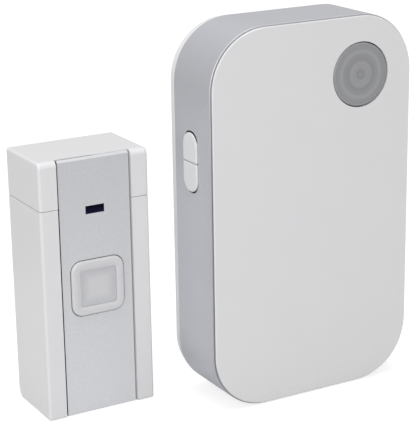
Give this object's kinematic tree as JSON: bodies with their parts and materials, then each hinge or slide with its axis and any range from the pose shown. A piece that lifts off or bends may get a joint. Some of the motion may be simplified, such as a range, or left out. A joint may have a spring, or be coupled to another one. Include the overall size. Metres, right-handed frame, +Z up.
{
  "type": "wireless doorbell",
  "caption": "Wireless doorbell set: an upright round-cornered chime with a round signal light and side volume keys, beside a slim bell push with a square button.",
  "frame": {"origin": "middle of the set's footprint, on the surface that both units stand on", "axes": "+Z up, the fronts with the round light and the bell button face -Y, the chime stands at +X and the bell push at -X"},
  "size_m": [0.1328, 0.0528, 0.1355],
  "materials": {
    "white_plastic": "smooth satin moulded plastic",
    "silver_paint": "satin silver painted plastic",
    "lens_plastic": "translucent grey plastic with ring grooves",
    "clear_plastic": "frosted translucent plastic",
    "window_plastic": "dark tinted plastic",
    "reflector_plastic": "matt white plastic",
    "light_plastic": "moulded light",
    "board_laminate": "green laminate with solder mask",
    "chip_plastic": "black moulded package",
    "switch_plastic": "black switch housing",
    "stem_plastic": "pale switch stem",
    "can_steel": "drawn steel can",
    "screw_steel": "zinc plated steel",
    "spring_steel": "nickel plated spring wire",
    "contact_steel": "nickel plated sheet",
    "copper_wire": "enamelled copper wire",
    "speaker_steel": "pressed steel basket",
    "speaker_paper": "black paper cone",
    "magnet_ferrite": "ferrite magnet",
    "cell_jacket": "plain dark printed cell jacket",
    "coin_steel": "steel coin cell"
  },
  "bodies": {
    "chime_housing": {"chime_front_cover": "white_plastic", "chime_side_band": "silver_paint", "chime_back_cover": "white_plastic", "chime_lens": "lens_plastic", "chime_light_cup": "reflector_plastic", "chime_lights": "light_plastic", "chime_circuit_board": "board_laminate", "chime_controller_chip": "chip_plastic", "chime_crystal": "can_steel", "chime_aerial": "copper_wire", "speaker_frame": "speaker_steel", "speaker_cone": "speaker_paper", "speaker_magnet": "magnet_ferrite", "housing_screws": "screw_steel", "chime_board_screws": "screw_steel", "aa_cells": "cell_jacket", "cell_springs": "spring_steel", "cell_contact_plates": "contact_steel", "volume_up_switch": "switch_plastic", "volume_down_switch": "switch_plastic"},
    "battery_door_leaf": {"battery_door": "white_plastic"},
    "volume_up_key": {"volume_up_button": "white_plastic"},
    "volume_up_plunger": {"volume_up_stem": "stem_plastic"},
    "volume_down_key": {"volume_down_button": "white_plastic"},
    "volume_down_plunger": {"volume_down_stem": "stem_plastic"},
    "push_back": {"push_base": "white_plastic", "push_circuit_board": "board_laminate", "push_board_screws": "screw_steel", "push_switch": "switch_plastic", "push_lamp": "light_plastic", "push_chip": "chip_plastic", "push_resonator": "can_steel", "coin_cell": "coin_steel", "coin_contact": "contact_steel", "coin_cell_clip": "contact_steel"},
    "push_front": {"push_cover": "white_plastic", "push_top_hood": "white_plastic", "push_silver_strip": "silver_paint", "push_indicator_window": "window_plastic"},
    "bell_key": {"bell_button": "clear_plastic", "bell_button_inlay": "clear_plastic"},
    "bell_plunger": {"push_stem": "stem_plastic"}
  },
  "joints": [
    {"name": "battery_door_hinge", "type": "hinge", "parent": "chime_housing", "child": "battery_door_leaf", "pos_m": [0.02577, 0.0026, 0.0102], "axis": [-1, 0, 0], "range_deg": [0, 90]},
    {"name": "volume_up_press", "type": "slide", "parent": "chime_housing", "child": "volume_up_key", "axis": [1, 0, 0], "range_m": [0, 0.0006], "stiffness_N_per_m": 1500},
    {"name": "volume_down_press", "type": "slide", "parent": "chime_housing", "child": "volume_down_key", "axis": [1, 0, 0], "range_m": [0, 0.0006], "stiffness_N_per_m": 1500},
    {"name": "volume_up_plunge", "type": "slide", "parent": "chime_housing", "child": "volume_up_plunger", "axis": [1, 0, 0], "range_m": [0, 0.0006]},
    {"name": "volume_down_plunge", "type": "slide", "parent": "chime_housing", "child": "volume_down_plunger", "axis": [1, 0, 0], "range_m": [0, 0.0006]},
    {"name": "push_lift", "type": "slide", "parent": "chime_housing", "child": "push_back", "axis": [0, 0, 1], "range_m": [0, 0.1]},
    {"name": "push_front_pull", "type": "slide", "parent": "push_back", "child": "push_front", "axis": [0, -1, 0], "range_m": [0, 0.0126]},
    {"name": "bell_press", "type": "slide", "parent": "push_front", "child": "bell_key", "axis": [0, 1, 0], "range_m": [0, 0.0007], "stiffness_N_per_m": 2000},
    {"name": "bell_plunge", "type": "slide", "parent": "push_back", "child": "bell_plunger", "axis": [0, 1, 0], "range_m": [0, 0.0007]}
  ],
  "couplings": [
    {"joint": "volume_up_plunge", "follows": "volume_up_press", "ratio": 1},
    {"joint": "volume_down_plunge", "follows": "volume_down_press", "ratio": 1},
    {"joint": "bell_plunge", "follows": "bell_press", "ratio": 1}
  ]
}
